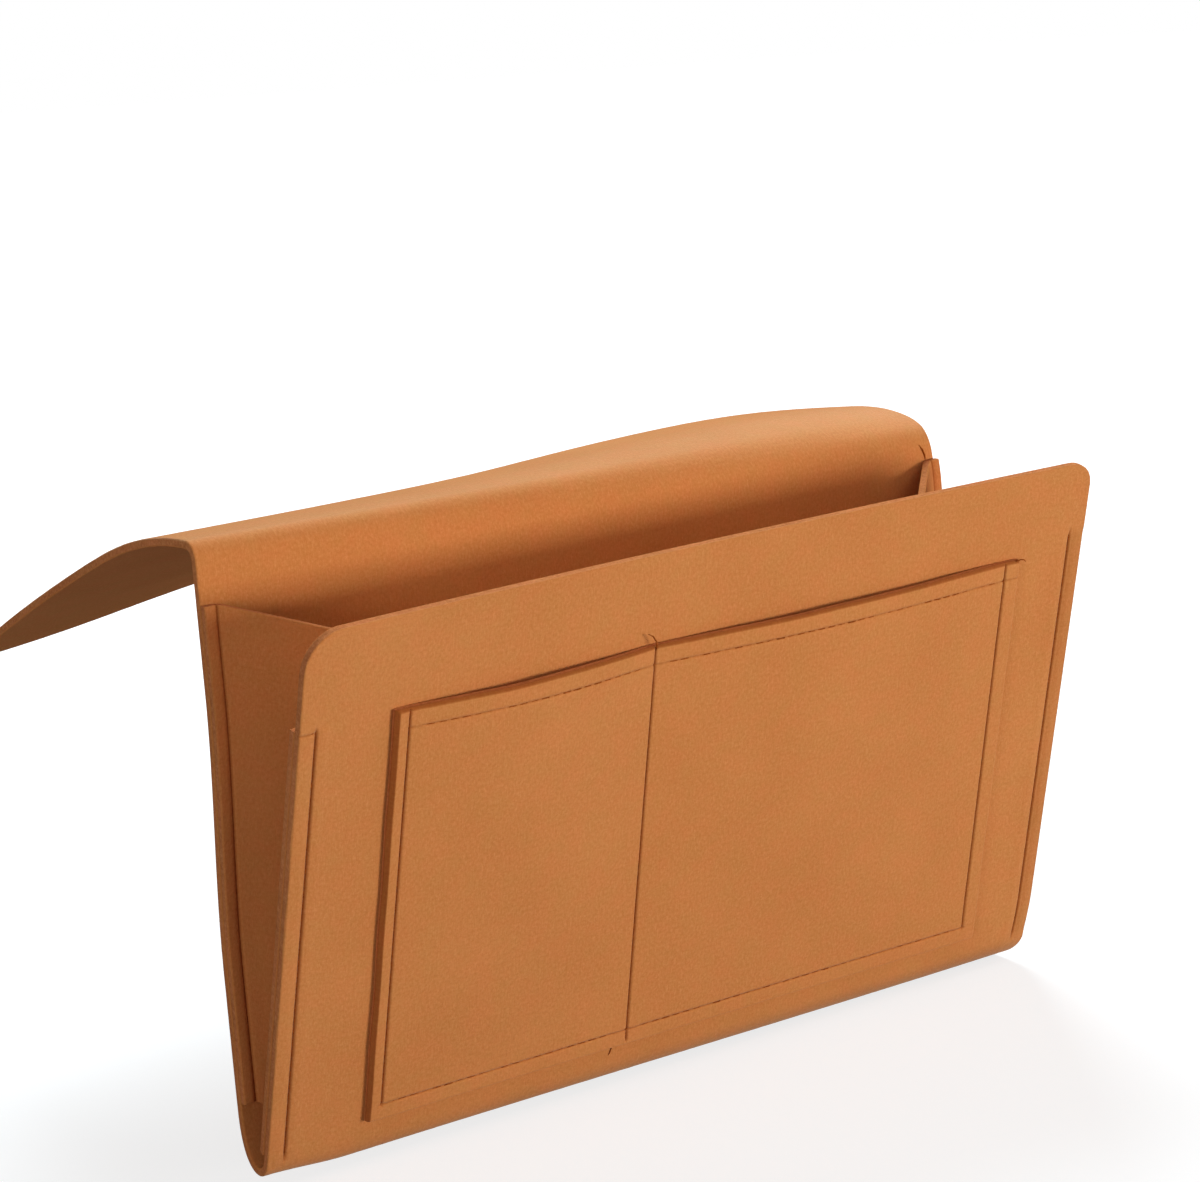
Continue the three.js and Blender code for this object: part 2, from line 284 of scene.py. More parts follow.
dryness = map_range(fibres, tone, 0.0, 1.0, 0.97, 0.86)
for output, label in ((fibre_color, "Color"), (height, "Height"), (dryness, "Roughness")):
    fibres.links.new(output, group_out.inputs[label])
print("fibre group nodes:", len(fibres.nodes))

# %% Make the felt finishes
fuzz_tint = (1.0, 0.95, 0.76, 1)


def from_screen(r, g, b):
    """A colour as it is read from a picture, from 0 to 255, as the values that light works with."""
    return (*(v / 12.92 if v <= 0.04045 else ((v + 0.055) / 1.055) ** 2.4
              for v in (c / 255 for c in (r, g, b))), 1)


def make_felt(name, base, deep, pale, by_object=False, relief=0.00018, fuzz=0.28):
    """A felt finish. Its pattern follows the sheet's flat UV map, or Object coordinates on a cut."""
    finish, tree, shader = new_finish(name)
    if by_object:
        source = tree.nodes.new("ShaderNodeTexCoord").outputs["Object"]
    else:
        source = add_node(tree, "ShaderNodeUVMap", {"uv_map": "flat"}).outputs["UV"]
    pattern = add_node(tree, "ShaderNodeGroup", {"node_tree": fibres}, Base=from_screen(*base),
                       Deep=from_screen(*deep), Pale=from_screen(*pale))
    tree.links.new(source, pattern.inputs["Vector"])
    pressed_shade = add_node(tree, "ShaderNodeAttribute", {"attribute_name": "pressed_shade"})
    tree.links.new(pressed_shade.outputs["Fac"], pattern.inputs["Pressed_Shade"])
    tree.links.new(pattern.outputs["Color"], shader.inputs["Base Color"])
    tree.links.new(pattern.outputs["Roughness"], shader.inputs["Roughness"])
    bump = add_node(tree, "ShaderNodeBump", Strength=0.45, Distance=relief)
    tree.links.new(pattern.outputs["Height"], bump.inputs["Height"])
    tree.links.new(bump.outputs["Normal"], shader.inputs["Normal"])
    set_values(shader, Specular_IOR_Level=0.0, Sheen_Weight=fuzz, Sheen_Roughness=0.45,
               Sheen_Tint=fuzz_tint)
    return finish


face_felt = make_felt("felt face", (203, 132, 72), (186, 114, 57), (220, 155, 97))
edge_felt = make_felt("felt cut edge", (210, 135, 83), (168, 101, 58), (224, 159, 108), by_object=True,
                      relief=0.0003, fuzz=0.0)
inner_felt = make_felt("felt inner face", (203, 130, 73), (186, 112, 58), (218, 152, 97), fuzz=0.04)
print("finishes:", [finish.name for finish in (face_felt, edge_felt, inner_felt)])

# %% [markdown]
# ## How the sheets are made
#
# Felt of this weight keeps its thickness, so each piece is drawn as the middle layer of a sheet on a
# grid of its flat pattern. A cloth simulation would suit a limp fabric, but this felt stands by itself
# and its few folds are known, so a place function says where each point of the pattern lies once it is
# sewn and bent. The two faces stand off that middle layer along its own slant, and the cut edges ease
# off over half a millimetre. A seam presses a groove into the face, with the felt puffed on both sides
# of it. Grid lines stand close together at seams and edges, and wide apart elsewhere.

# %% Sizes of the strip
felt = 3 * mm
half_felt = felt / 2
caddy_width = 330 * mm
half_width = caddy_width / 2
corner_radius = 14 * mm
fold_level = -112 * mm
back_face = -3 * mm
back_top = 200 * mm
back_bottom = 24 * mm
back_length = back_top - back_bottom
front_length = 207.4 * mm
front_hinge = 6 * mm
fold_end = 5.6 * mm
flap_length = 232 * mm
upper_length = back_length + flap_length
print("strip:", caddy_width, "wide; back", round(back_length, 3), "flap", flap_length)

# %% Small helpers for shapes
beside_seam = (0.3, 0.6, 0.95, 1.4, 2.1, 3.0, 4.0, 5.2)
beside_edge = (0.06, 0.22, 0.5, 0.8, 1.15, 1.3, 1.6)


def mix(a, b, share):
    """The value a share of the way from a to b."""
    return a + (b - a) * share


def ease(value, low, high):
    """0 below low, 1 above high, and a smooth rise between."""
    share = np.clip((value - low) / (high - low), 0, 1)
    return share * share * (3 - 2 * share)


def hump(value, rise, fall):
    """1 between two stretches, with a smooth rise over the first and a smooth fall over the second."""
    return ease(value, *rise) * (1 - ease(value, *fall))


def ripple(u, v, size, seed):
    """A slow, even unevenness between -1 and 1, the same on every run."""
    chance = np.random.default_rng(seed)
    total = 0
    for _ in range(7):
        turn, phase = chance.uniform(0, 2 * math.pi, 2)
        wave = 2 * math.pi / (size * chance.uniform(0.7, 1.6))
        total = total + np.sin(wave * (u * math.cos(turn) + v * math.sin(turn)) + phase)
    return total / 7


def stations(first, last, step, fine_at=(), edges=(True, True)):
    """Grid lines from first to last: near a seam and near a cut edge they stand close together."""
    lines = list(np.linspace(first, last, max(2, int(round((last - first) / step)) + 1)))
    for seam in fine_at:
        lines = [x for x in lines if abs(x - seam) > beside_seam[-1] * mm or x in (first, last)]
        lines += [seam] + [seam + side * d * mm for side in (-1, 1) for d in beside_seam]
    for end, sign, free in ((first, 1, edges[0]), (last, -1, edges[1])):
        if free:
            lines = [x for x in lines if x == end or sign * (x - end) > 2 * mm]
            lines += [end + sign * d * mm for d in beside_edge]
    return np.array(sorted(x for x in set(lines) if first <= x <= last))


# %% Small helpers for cut edges and seams
edge_ease = 0.55 * mm
puff_place, puff_width = 3.0 * mm, 1.9 * mm


def edge_distance(u, v, low_u, high_u, low_v, high_v, radius):
    """How far a point of a flat pattern lies inside its cut edge, with round corners."""
    du = np.maximum(low_u - u, u - high_u) + radius
    dv = np.maximum(low_v - v, v - high_v) + radius
    outside = np.hypot(np.maximum(du, 0), np.maximum(dv, 0))
    return radius - outside - np.minimum(np.maximum(du, dv), 0)


def eased_half(distance):
    """Half the felt's thickness at a distance from its cut edge."""
    share = np.clip(distance / edge_ease, 0, 1)
    return half_felt - edge_ease * (1 - np.sqrt(np.clip(1 - (1 - share) ** 2, 0, 1)))


def groove(distance, depth=0.85 * mm, puff=0.3 * mm, width=0.5 * mm):
    """The dip that a row of stitches pulls into the felt, and the swelling beside it."""
    d = np.abs(distance)
    return puff * np.exp(-((d - puff_place) / puff_width) ** 2) - depth * np.exp(-(d / width) ** 2)


def squeezed_and_shaded(distance, strength=0.85, width=0.42 * mm):
    """How dark the felt is painted along a row of stitches, from 0 to 1: partly felt squashed by the
    thread, partly painted shade of the groove.
    """
    return strength * np.exp(-(distance / width) ** 2)


def rim_line(distance):
    """A thin darker line along the rim of a face, fading within half a millimetre."""
    return 0.12 * np.exp(-np.maximum(distance, 0) / (0.4 * mm))


def rounded_edge_shade(distance, reach):
    """A cut edge that is rounded over a reach: how far the face drops there, and how dark its rounded
    rim is painted, as shade.
    """
    drop = reach * (1 - np.clip(distance / reach, 0, 1)) ** 1.2
    return drop, 0.85 * (1 - ease(distance, 0.8 * reach, 1.05 * reach))


def wander(along, across, edge, seed, reach):
    """How far a hand-guided cut strays sideways near an edge, at a length along it."""
    fading = np.exp(-np.abs(across - edge) / (3 * mm))
    return reach * ripple(along, 0 * along + seed, 26 * mm, seed) * fading


# %% Build a closed sheet from its middle layer


def slant(place, u, v):
    """The direction square to the middle layer, from its slopes along and across."""
    step = 0.05 * mm
    across = place(u + step, v) - place(u - step, v)
    along = place(u, v + step) - place(u, v - step)
    square = np.cross(across, along)
    return square / np.linalg.norm(square, axis=-1, keepdims=True)


def new_piece(name, points, faces):
    """A new object and its mesh, from points and faces. It is then the only one that is picked."""
    mesh = bpy.data.meshes.new(name)
    mesh.from_pydata(points.tolist(), [], faces)
    piece = bpy.data.objects.new(name, mesh)
    bpy.context.scene.collection.objects.link(piece)
    bpy.ops.object.select_all(action="DESELECT")
    piece.select_set(True)
    bpy.context.view_layer.objects.active = piece
    return piece, mesh


def build_sheet(name, middle, normal, over, under, flat, pressed_shade, finish=face_felt):
    """A closed sheet of felt from rows and columns of its middle layer. over and under are how far its
    two faces stand off, flat is the place of each point in the cut pattern, and the darkness given
    for both faces says where the felt is painted darker: squashed under the seams, and painted shade
    in the seams' grooves and along cut edges."""
    rows, columns = middle.shape[:2]
    near = (middle + normal * over[..., None]).reshape(-1, 3)
    far = (middle - normal * under[..., None]).reshape(-1, 3)
    index = np.arange(rows * columns).reshape(rows, columns)
    a, b, c, d = index[:-1, :-1], index[:-1, 1:], index[1:, 1:], index[1:, :-1]
    near_faces = np.stack([a, b, c, d], axis=-1).reshape(-1, 4)
    far_faces = near_faces[:, ::-1] + rows * columns
    loop = np.concatenate([index[0, :-1], index[:-1, -1], index[-1, :0:-1], index[:0:-1, 0]])
    after = np.roll(loop, -1)
    rim = np.stack([loop, loop + rows * columns, after + rows * columns, after], axis=-1)
    piece, mesh = new_piece(name, np.concatenate([near, far]),
                            np.concatenate([near_faces, far_faces, rim]).tolist())
    pattern = np.concatenate([flat.reshape(-1, 2)] * 2)
    corners = np.zeros(len(mesh.loops), np.int32)
    mesh.loops.foreach_get("vertex_index", corners)
    layer = mesh.uv_layers.new(name="flat")
    layer.data.foreach_set("uv", pattern[corners].astype(np.float32).ravel())
    dark = mesh.attributes.new("pressed_shade", "FLOAT", "POINT")
    dark.data.foreach_set("value", np.concatenate([p.ravel() for p in pressed_shade]).astype(np.float32))
    for look in (finish, edge_felt, inner_felt):
        mesh.materials.append(look)
    marks = np.zeros(len(mesh.polygons), np.int32)
    marks[len(near_faces):] = 2
    marks[-len(rim):] = 1
    mesh.polygons.foreach_set("material_index", marks)
    bpy.ops.object.shade_smooth_by_angle(angle=math.radians(50))
    print(name, "faces:", len(mesh.polygons))
    return piece


def flat_area(middle):
    """The area of a sheet's middle layer, in square metres."""
    diagonals = np.cross(middle[1:, 1:] - middle[:-1, :-1], middle[1:, :-1] - middle[:-1, 1:])
    return float(np.linalg.norm(diagonals, axis=-1).sum() / 2)


# %% Where the seams run
seam_inset = 6.3 * mm
gusset_seam = half_width - seam_inset
rear_seam = half_width - 4.5 * mm
gusset_low = 25.4 * mm
gusset_high = 197.7 * mm
gusset_front_low = 7.2 * mm
gusset_front_high = 172.5 * mm
seam_tops = {-1: gusset_front_high + 0.5 * mm, 1: gusset_front_high + 7 * mm}
panels = {
    "front_pocket": dict(left=-131 * mm, right=137 * mm, low=13.2 * mm, high=174.5 * mm,
                         divider=-25.2 * mm, rooms=(3.4 * mm, 3.6 * mm)),
    "inner_pocket": dict(left=-108 * mm, right=108 * mm, low=48 * mm, high=150 * mm,
                         divider=10 * mm, rooms=(5 * mm, 5 * mm)),
}
hem_depth = 7 * mm
seam_dip = 0.85 * mm
low_dip = 0.5 * mm
hem_dip = 0.35 * mm
far_dip = 0.6 * mm


def panel_seams(panel):
    """The places across of a panel's left, dividing and right seams."""
    return panel["left"] + seam_inset, panel["divider"], panel["right"] - seam_inset


def panel_room(panel, x, t):
    """How far the panel stands off its wall: nothing at the seams, most in the middle of a mouth."""
    seams = panel_seams(panel)
    low = panel["low"] + seam_inset
    rise = np.sin(np.clip((t - low) / (panel["high"] - low), 0, 1) * math.pi / 2)
    room = 0 * x
    for i in (0, 1):
        share = np.clip((x - seams[i]) / (seams[i + 1] - seams[i]), 0, 1)
        room = room + panel["rooms"][i] * np.sin(math.pi * share)
    return room * rise


# %% What the seams do to the felt


def panel_marks(panel, x, t, hems=True):
    """What the seams of a panel do to the felt: how far its face sinks, and how dark it is painted, for
    squashed felt and the groove's shade.
    """
    left, divider, right = panel_seams(panel)
    low = panel["low"] + seam_inset
    mouth = 1 - ease(t, panel["high"] - 1 * mm, panel["high"] + 1 * mm)
    upright = ease(t, low - 2 * mm, low + 1 * mm) * mouth
    middle = ease(t, low - 6 * mm, low - 4 * mm) * mouth
    between = hump(x, (left - 2 * mm, left), (right, right + 2 * mm))
    lines = [(upright, x - left, seam_dip, 0.36 * mm), (upright, x - right, seam_dip, 0.3 * mm),
             (middle, x - divider, seam_dip, 0.3 * mm), (between, t - low, low_dip, 0.12 * mm)]
    if hems:
        lines.append((ease(x, left - 1 * mm, left), t - panel["high"] + hem_depth, hem_dip, 0.06 * mm))
    relief = sum(mask * groove(distance, *shape) for mask, distance, *shape in lines)
    dark = [mask * squeezed_and_shaded(distance, 1.1 * shape[0] / mm) for mask, distance, *shape in lines]
    return relief, np.max(dark, axis=0)


def front_marks(x, t):
    """The same for the seams that hold the gussets, in the front's outer face, and a band outside each
    seam that sinks and is painted darker as shade.
    """
    tops = np.where(x < 0, seam_tops[-1], seam_tops[1])
    along = hump(t, (gusset_front_low - 3 * mm, gusset_front_low), (tops - 1 * mm, tops + 1.5 * mm))
    across = ease(-x, gusset_seam, gusset_seam + 1 * mm)
    beside = ease(x, gusset_seam, gusset_seam + 1.5 * mm) * along
    distance = np.abs(x) - gusset_seam
    relief = along * groove(distance) + across * groove(t - gusset_front_high, hem_dip, 0.1 * mm)
    relief = relief - 0.35 * mm * beside
    dark = np.maximum(along * squeezed_and_shaded(distance, 0.95, 0.55 * mm),
                      across * squeezed_and_shaded(t - gusset_front_high, 0.5))
    # Painted shade on the sunken band outside each gusset seam.
    shade = beside * (0.14 + 0.3 * np.exp(-np.abs(distance) / (1.6 * mm)))
    return relief, np.maximum(dark, shade)


print("seams:", [round(x, 4) for x in panel_seams(panels["front_pocket"])])

# %% [markdown]
# ## The back and the flap
#
# The back hangs flat against the bed, and the strip turns over its top into the flap, which droops to
# the rear, more at its left end than at its right. A bend modifier would turn both ends alike, but the
# left end turns more tightly than the right. So the middle layer is found by walking along the strip
# from the top of the back and turning a little at each step, once for each end of the width. The two
# paths are mixed across the width, with a low swell between them.

# %% Walk along the flap
flap_left = dict(straight=12 * mm, radius=5 * mm, after_bend=0.0, at_rear=math.radians(-27),
                 settle=55 * mm)
flap_right = dict(straight=0.0, radius=10 * mm, after_bend=math.radians(24), at_rear=math.radians(-12),
                  settle=25 * mm)
walk = np.linspace(-2 * mm, flap_length + 4 * mm, 4761)


def flap_path(shape):
    """The path of the flap's middle layer at one end of its width, from the top of the back."""
    bend_end = shape["straight"] + shape["radius"] * (math.pi / 2 - shape["after_bend"])
    settled = np.exp(np.minimum(0, bend_end - walk) / shape["settle"])
    heading = math.pi / 2 - (walk - shape["straight"]) / shape["radius"]
    heading = np.where(walk < shape["straight"], math.pi / 2, heading)
    heading = np.where(walk < bend_end, heading, mix(shape["at_rear"], shape["after_bend"], settled))
    middle = (heading[1:] + heading[:-1]) / 2
    step = walk[1] - walk[0]
    y = np.concatenate([[0], np.cumsum(np.cos(middle) * step)])
    z = np.concatenate([[0], np.cumsum(np.sin(middle) * step)])
    return y - np.interp(0, walk, y), z - np.interp(0, walk, z)


left_path = flap_path(flap_left)
right_path = flap_path(flap_right)
print("flap's left end, behind and up:", [round(float(side[-1]), 3) for side in left_path])

# %% Place functions of the back and the flap
flap_swell = 5 * mm
flap_bend_length = 24 * mm
flap_wave = 0.8 * mm
left_lift = 3 * mm
middle_lift = 2 * mm
corner_creep = 2.6 * mm
bend_creep = 1.9 * mm
rear_creep = 1.7 * mm


def back_shift(x, z):
    """How far the back has crept out of square at x and height z: its lower left edge stands out to the
    left and the rear, and its upper right edge is drawn in a little by the bend."""
    low_left = ease(-x, 60 * mm, half_width) * (1 - ease(z, 72 * mm, 168 * mm))
    high_right = ease(x, 105 * mm, half_width) * hump(z, (120 * mm, 195 * mm), (222 * mm, 265 * mm))
    at_bend = ease(x, 120 * mm, half_width) * np.exp(-((z - 204 * mm) / (9 * mm)) ** 2)
    return -corner_creep * (low_left + high_right) - bend_creep * at_bend, rear_creep * low_left


def upper_middle(x, w):
    """The middle layer of back and flap, a length w up from the back's lower edge."""
    s = w - back_length
    share = (x + half_width) / caddy_width
    grown = 1 - np.exp(-np.maximum(s, 0) / flap_bend_length)
    swell = flap_swell * np.sin(math.pi * np.clip(share, 0, 1) ** 2.8) * grown * grown
    y, z = (mix(np.interp(s, walk, left), np.interp(s, walk, right), share)
            for left, right in zip(left_path, right_path))
    lift = flap_wave * ease(s, 20 * mm, 90 * mm) * ripple(x, s, 110 * mm, 8)
    lift = lift + left_lift * (1 - share) * ease(s, 90 * mm, 225 * mm)
    lift = lift + middle_lift * hump(share, (0, 0.5), (0.6, 1)) * ease(s, 120 * mm, 225 * mm)
    on_flap = s > 0
    y = np.where(on_flap, y, 0)
    z = np.where(on_flap, z + swell + lift, s) + back_top + fold_level
    shift_x, shift_y = back_shift(x, w + back_bottom)
    return np.stack([x + shift_x, back_face + half_felt + y + shift_y, z], axis=-1)


# %% Make the back and flap in one piece
strip_stray = 0.15 * mm
hair_height = 0.05 * mm


def round_half_width(distance, radius=corner_radius):
    """The strip's half width at a distance from a square end that is cut with round corners."""
    inside = np.clip(radius - distance, 0, radius)
    return half_width - radius + np.sqrt(np.maximum(radius ** 2 - inside ** 2, 0))


def corner_lines(end, start):
    """Grid lines of the length, closer together where the end's corners are round."""
    turns = np.linspace(0, math.pi / 2, 9)[1:]
    arc = end - corner_radius + corner_radius * np.sin(turns)
    near = [end - d * mm for d in beside_edge[:3]]
    return np.array(sorted(set(list(start[start < end - corner_radius]) + list(arc) + near)))


def hair(u, v, seed):
    """The felt's own faint unevenness, which both its faces follow."""
    return hair_height * ripple(u, v, 5 * mm, seed)


inner_panel = panels["inner_pocket"]
columns_u = stations(-half_width, half_width, 3.6 * mm,
                     (-rear_seam, rear_seam, *panel_seams(inner_panel)))
inner_low = inner_panel["low"] + seam_inset - back_bottom
low_rows = stations(0, back_length - 8 * mm, 4 * mm, (inner_low,), (False, False))
bend_rows = np.arange(back_length - 6 * mm, back_length + 40 * mm, 1.2 * mm)
flap_rows = np.arange(back_length + 41 * mm, upper_length, 3.6 * mm)
rows_v = corner_lines(upper_length, np.concatenate([low_rows, bend_rows, flap_rows]))
v, u = np.meshgrid(rows_v, columns_u, indexing="ij")
u = u / half_width * round_half_width(upper_length - v)
u = u + wander(v, u, -half_width, 5, strip_stray) + wander(v, u, half_width, 6, strip_stray)
middle = upper_middle(u, v)
distance = edge_distance(u, v, -half_width, half_width, -1.0, upper_length, corner_radius)
half, fine = eased_half(distance), hair(u, v, 21)
inner_sink, inner_dark = panel_marks(inner_panel, u, v + back_bottom, hems=False)
hem_rows = hump(v + back_bottom, (gusset_low - 1 * mm, gusset_low),
                (gusset_high, gusset_high + 1.5 * mm))
rear_sink = inner_sink * 0.6 + hem_rows * groove(np.abs(u) - rear_seam, 0.6 * mm, 0.1 * mm)
rear_dark = np.maximum(inner_dark * 0.8, hem_rows * squeezed_and_shaded(np.abs(u) - rear_seam, 0.7))
back_sheet = build_sheet("back_and_flap", middle, slant(upper_middle, u, v), half + fine,
                         half - fine + rear_sink, np.stack([u, v], axis=-1),
                         (rim_line(distance), np.maximum(rear_dark, rim_line(distance))))
print("back and flap area:", round(flat_area(middle), 4), "flat:", round(caddy_width * upper_length, 4))

# %% [markdown]
# ## The bottom fold and the front
#
# Below the back the strip turns forward and up again. The turn is tight at the left end and wide at
# the right, because the caddy stands further open there. A bent tube of one radius would fit in one
# place only, so the fold's curve is drawn between the back's lower edge and the front's lower edge for
# each column of the grid. The front leans out, and its mouth is drawn back a little in the middle. The
# sheet starts exactly where the back's sheet ends.

# %% Place function of the front
lean_left = math.radians(17.5)
lean_right = math.radians(12)
depth_left = 7 * mm
depth_right = 35 * mm
mouth_draw = 12 * mm
mouth_sag = 2.1 * mm
front_wave = 0.45 * mm
right_spread = 4.3 * mm


def front_point(x, t, n):
    """A point of the front at x, a length t up from the fold line and n in front of its outer face."""
    share = (x + half_width) / caddy_width
    lean = mix(lean_left, lean_right, share)
    rise = np.maximum(0, (t - front_hinge) / (front_length - front_hinge))
    bow = 1 - (x / half_width) ** 2
    draw = mouth_draw * bow * rise
    wave = front_wave * rise * (1 - rise * 0.5) * ripple(x, t, 120 * mm, 5)
    depth = mix(depth_left, depth_right, share)
    y = back_face - depth - t * np.sin(lean) - (n + wave) * np.cos(lean) + draw
    z = fold_level + t * np.cos(lean) - n * np.sin(lean) - mouth_sag * bow * rise
    up_from_fold = np.sin(math.pi / 2 * np.clip((t + 8 * mm) / (34 * mm), 0, 1))
    spread = right_spread * ease(x, 134 * mm, half_width) * up_from_fold
    return np.stack([x + spread, y, z], axis=-1)


# %% Place functions of the fold
fold_reach = 5.8 * mm
fold_span = 40 * mm
left_raise = 3.4 * mm
right_drop = 2.9 * mm


def fold_middle(x, share):
    """The fold's middle layer, from the back's lower edge at share 0 to the front's at share 1."""
    end = front_point(x, fold_end + 0 * x, -half_felt)
    above = front_point(x, fold_end + 0.4 * mm + 0 * x, -half_felt)
    down = (end - above) / np.linalg.norm(end - above, axis=-1, keepdims=True)
    start = np.stack([x, 0 * x + back_face + half_felt, 0 * x + fold_level + back_bottom], axis=-1)
    lowest = fold_level - fold_reach + left_raise * ease(-x, 132 * mm, half_width)
    start_handle = start.copy()
    start_handle[..., 2] = lowest
    end_handle = end + down * ((end[..., 2:] - lowest[..., None]) / -down[..., 2:])
    k = share[..., None]
    line = ((1 - k) ** 3 * start + 3 * k * (1 - k) ** 2 * start_handle
            + 3 * k * k * (1 - k) * end_handle + k ** 3 * end)
    shift_x, shift_y = back_shift(x, back_bottom)
    left_over = 1 - ease(share, 0.05, 0.95)
    line[..., 0] += shift_x * left_over
    line[..., 1] += shift_y * left_over
    to_right = ease((x + half_width) / caddy_width, 0.1, 0.95)
    line[..., 2] -= right_drop * np.sin(math.pi * share) ** 2 * to_right
    return line


def lower_middle(x, q):
    """The middle layer of fold and front. Below the front's lower edge q counts off the fold."""
    share = np.clip(1 + (q - fold_end) / fold_span, 0, 1)
    on_front = q >= fold_end
    front_part = front_point(x, np.maximum(q, fold_end), -half_felt)
    fold_part = fold_middle(x, np.where(on_front, 1.0, share))
    return np.where(on_front[..., None], front_part, fold_part)


def lower_slant(x, q):
    """The direction square to fold and front. At the fold's first line it is the back's own."""
    first = q <= fold_end - fold_span + 0.05 * mm
    return np.where(first[..., None], np.array([0.0, 1.0, 0.0]), slant(lower_middle, x, q))


# %% Make the fold and front in one piece
right_corner = 9 * mm
front_panel = panels["front_pocket"]
front_columns = stations(-half_width, half_width, 3.6 * mm,
                         (-gusset_seam, gusset_seam, *panel_seams(front_panel)))
# Its first line meets the back's last one, so both have the same columns there.
front_columns = np.array(sorted(set(front_columns.round(7)) | set(columns_u.round(7))))
fold_lines = fold_end - fold_span * np.linspace(1, 0, 33)
front_low = front_panel["low"] + seam_inset
front_lines = stations(front_hinge + 2 * mm, front_length, 3.6 * mm, (front_low, gusset_front_high),
                       (False, False))
rows_q = corner_lines(front_length, np.concatenate([fold_lines, front_lines]))
q, u = np.meshgrid(rows_q, front_columns, indexing="ij")
on_left = u < 0
from_end = front_length - q
u = u / half_width * np.where(on_left, round_half_width(from_end),
                              round_half_width(from_end, right_corner))
u = u + wander(q, u, -half_width, 7, strip_stray) * ease(q, 0, 10 * mm)
middle = lower_middle(u, q)
steps_between = np.linalg.norm(np.diff(middle, axis=0), axis=-1)
walked = -np.concatenate([np.zeros((1, len(front_columns))), np.cumsum(steps_between, axis=0)])
distance = edge_distance(u, q, -half_width, half_width, -1.0, front_length,
                         np.where(on_left, corner_radius, right_corner))
half, fine = eased_half(distance), hair(u, q, 22)
outer_sink, outer_dark = front_marks(u, q)
inner_sink, inner_dark = panel_marks(front_panel, u, q, hems=False)
front_sheet = build_sheet("fold_and_front", middle, lower_slant(u, q), half + fine + outer_sink,
                          half - fine + inner_sink * 0.6, np.stack([u, walked], axis=-1),
                          (np.maximum(outer_dark, rim_line(distance)),
                           np.maximum(inner_dark * 0.8, rim_line(distance))))

# %% [markdown]
# ## The gussets
#
# Each side is closed by a strip that is folded inwards like a bellows. It has a flat hem sewn on the
# back and another sewn behind the front, and two leaves that meet in a crease inside the bag. Its
# section is drawn at each height as a line through hem, root, crease, root and hem, with the corners
# rounded. Two stiff leaves on hinges would open a gap at the crease. One gusset is one unbroken sheet,
# as the real one is.

# %% Draw a gusset's section
layer_gap = 0.12 * mm
hem_width = 7 * mm
rear_root = half_width - 5.6 * mm
front_root = half_width - hem_width - 0.8 * mm
leaf_top = 47 * mm
leaf_low = dict(left=5 * mm, right=24 * mm)
crease_gap_top = 3 * mm
crease_gap_low = 5 * mm
root_round = 3 * mm
crease_round = 6 * mm
hem_layer = layer_gap + half_felt


def back_point(x, z, n):
    """A point n in front of the back's front face, at height z above the fold line."""
    shift_x, shift_y = back_shift(x, z)
    x, y, z = x + shift_x + 0 * z, back_face - n + shift_y + 0 * z, fold_level + z + 0 * x
    return np.stack([x, y, z], axis=-1)


def rear_wall(x, share):
    """A point of a hem's middle layer on the back, at a share of the gusset's height."""
    return back_point(x, mix(gusset_low, gusset_high, share), hem_layer)


def front_wall(x, share):
    """A point of a hem's middle layer behind the front, at a share of the gusset's height."""
    t = mix(gusset_front_low, gusset_front_high, share)
    return front_point(x + 0 * share, t, -felt - hem_layer)


def unit(direction):
    """A direction with its length made 1."""
    return direction / np.linalg.norm(direction, axis=-1, keepdims=True)


def gusset_corners(hand, low_width, share):
    """The five corners of the section at each share of the height, from rear hem to front hem."""
    ends = []
    for k, width, gap in ((0.0, low_width, crease_gap_low), (1.0, leaf_top, crease_gap_top)):
        rear = rear_wall(hand * rear_root, np.array(k))
        front = front_wall(hand * front_root, np.array(k))
        reach = np.linalg.norm(front - rear) / 2
        depth = math.sqrt(width ** 2 - (reach - gap) ** 2) * reach / (reach - gap)
        crease = (rear + front) / 2
        crease[0] -= hand * depth
        ends.append(crease)
    crease = ends[0] + (ends[1] - ends[0]) * share[:, None]
    return [rear_wall(hand * half_width, share), rear_wall(hand * rear_root, share), crease,
            front_wall(hand * front_root, share), front_wall(hand * half_width, share)]


def section(corners, cuts, samples):
    """Points along the section: straight between the corners and rounded at them."""
    points = []
    starts = [corners[0]]
    for i in (1, 2, 3):
        into, out = corners[i - 1] - corners[i], corners[i + 1] - corners[i]
        room = np.minimum(np.linalg.norm(into, axis=-1), np.linalg.norm(out, axis=-1)) * 0.48
        cut = np.minimum(cuts[i - 1], room)[:, None]
        starts += [corners[i] + unit(into) * cut, corners[i], corners[i] + unit(out) * cut]
    starts.append(corners[4])
    for i, count in enumerate(samples):
        for k in np.linspace(0, 1, count + 1)[(1 if points else 0):]:
            if i % 2 == 0:
                points.append(starts[3 * (i // 2)] * (1 - k) + starts[3 * (i // 2) + 1] * k)
            else:
                a, b, c = starts[3 * (i // 2) + 1: 3 * (i // 2) + 4]
                points.append((1 - k) ** 2 * a + 2 * k * (1 - k) * b + k * k * c)
    return np.stack(points, axis=1)


# %% Make the two gussets
gusset_height = gusset_high - gusset_low
gusset_share = np.concatenate([[0, 0.0004, 0.0014, 0.0035, 0.009], np.linspace(0.02, 0.98, 44),
                               [0.991, 0.9965, 0.9986, 0.9996, 1]])
section_steps = (22, 6, 16, 8, 16, 6, 22)
crease_column = sum(section_steps) // 2


